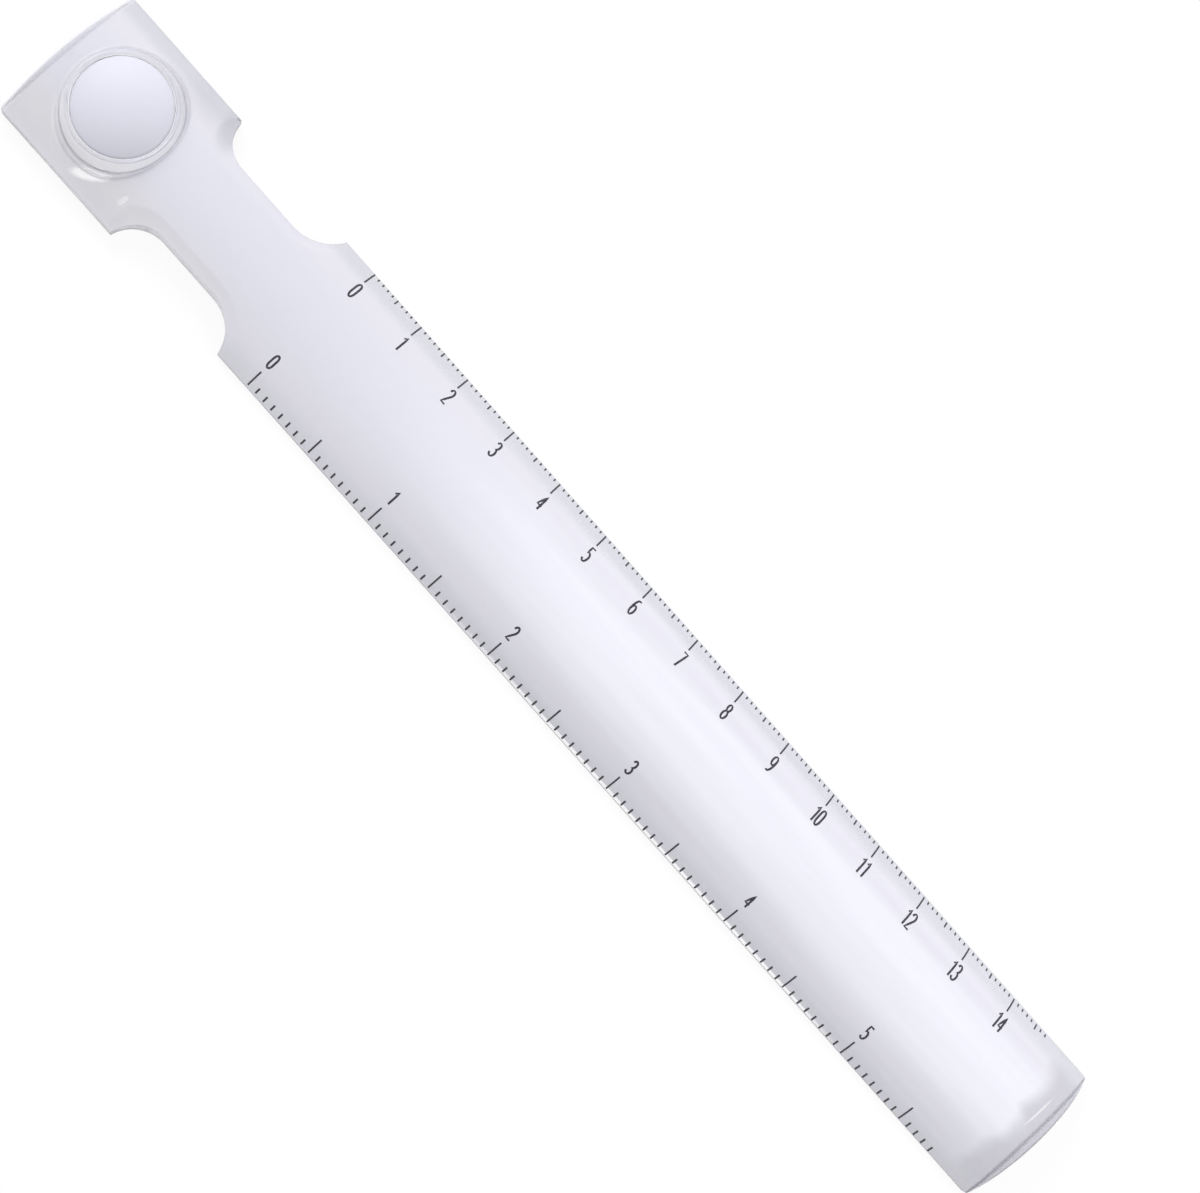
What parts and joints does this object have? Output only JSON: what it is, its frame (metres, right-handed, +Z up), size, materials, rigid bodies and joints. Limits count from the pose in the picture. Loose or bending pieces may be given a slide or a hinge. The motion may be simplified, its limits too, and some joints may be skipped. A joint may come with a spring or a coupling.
{
  "type": "bar magnifier",
  "caption": "Clear moulded reading bar with a domed top, printed length scales along both edges, a waisted neck and a square head that holds a small round dome lens.",
  "frame": {"origin": "on the surface that the bar rests on, under the middle of its length and width", "axes": "+X along the bar from the head to the far end, +Y across the bar towards the centimetre scale, +Z up through the domed top"},
  "size_m": [0.208, 0.0246, 0.01],
  "materials": {
    "moulded_acrylic": "clear injection-moulded acrylic, polished along the bar and satin on neck and head",
    "lens_acrylic": "clear polished acrylic",
    "scale_ink": "thin pad-printed black ink"
  },
  "bodies": {
    "root": {"moulded_bar": "moulded_acrylic", "spot_lens": "lens_acrylic"}
  },
  "joints": []
}
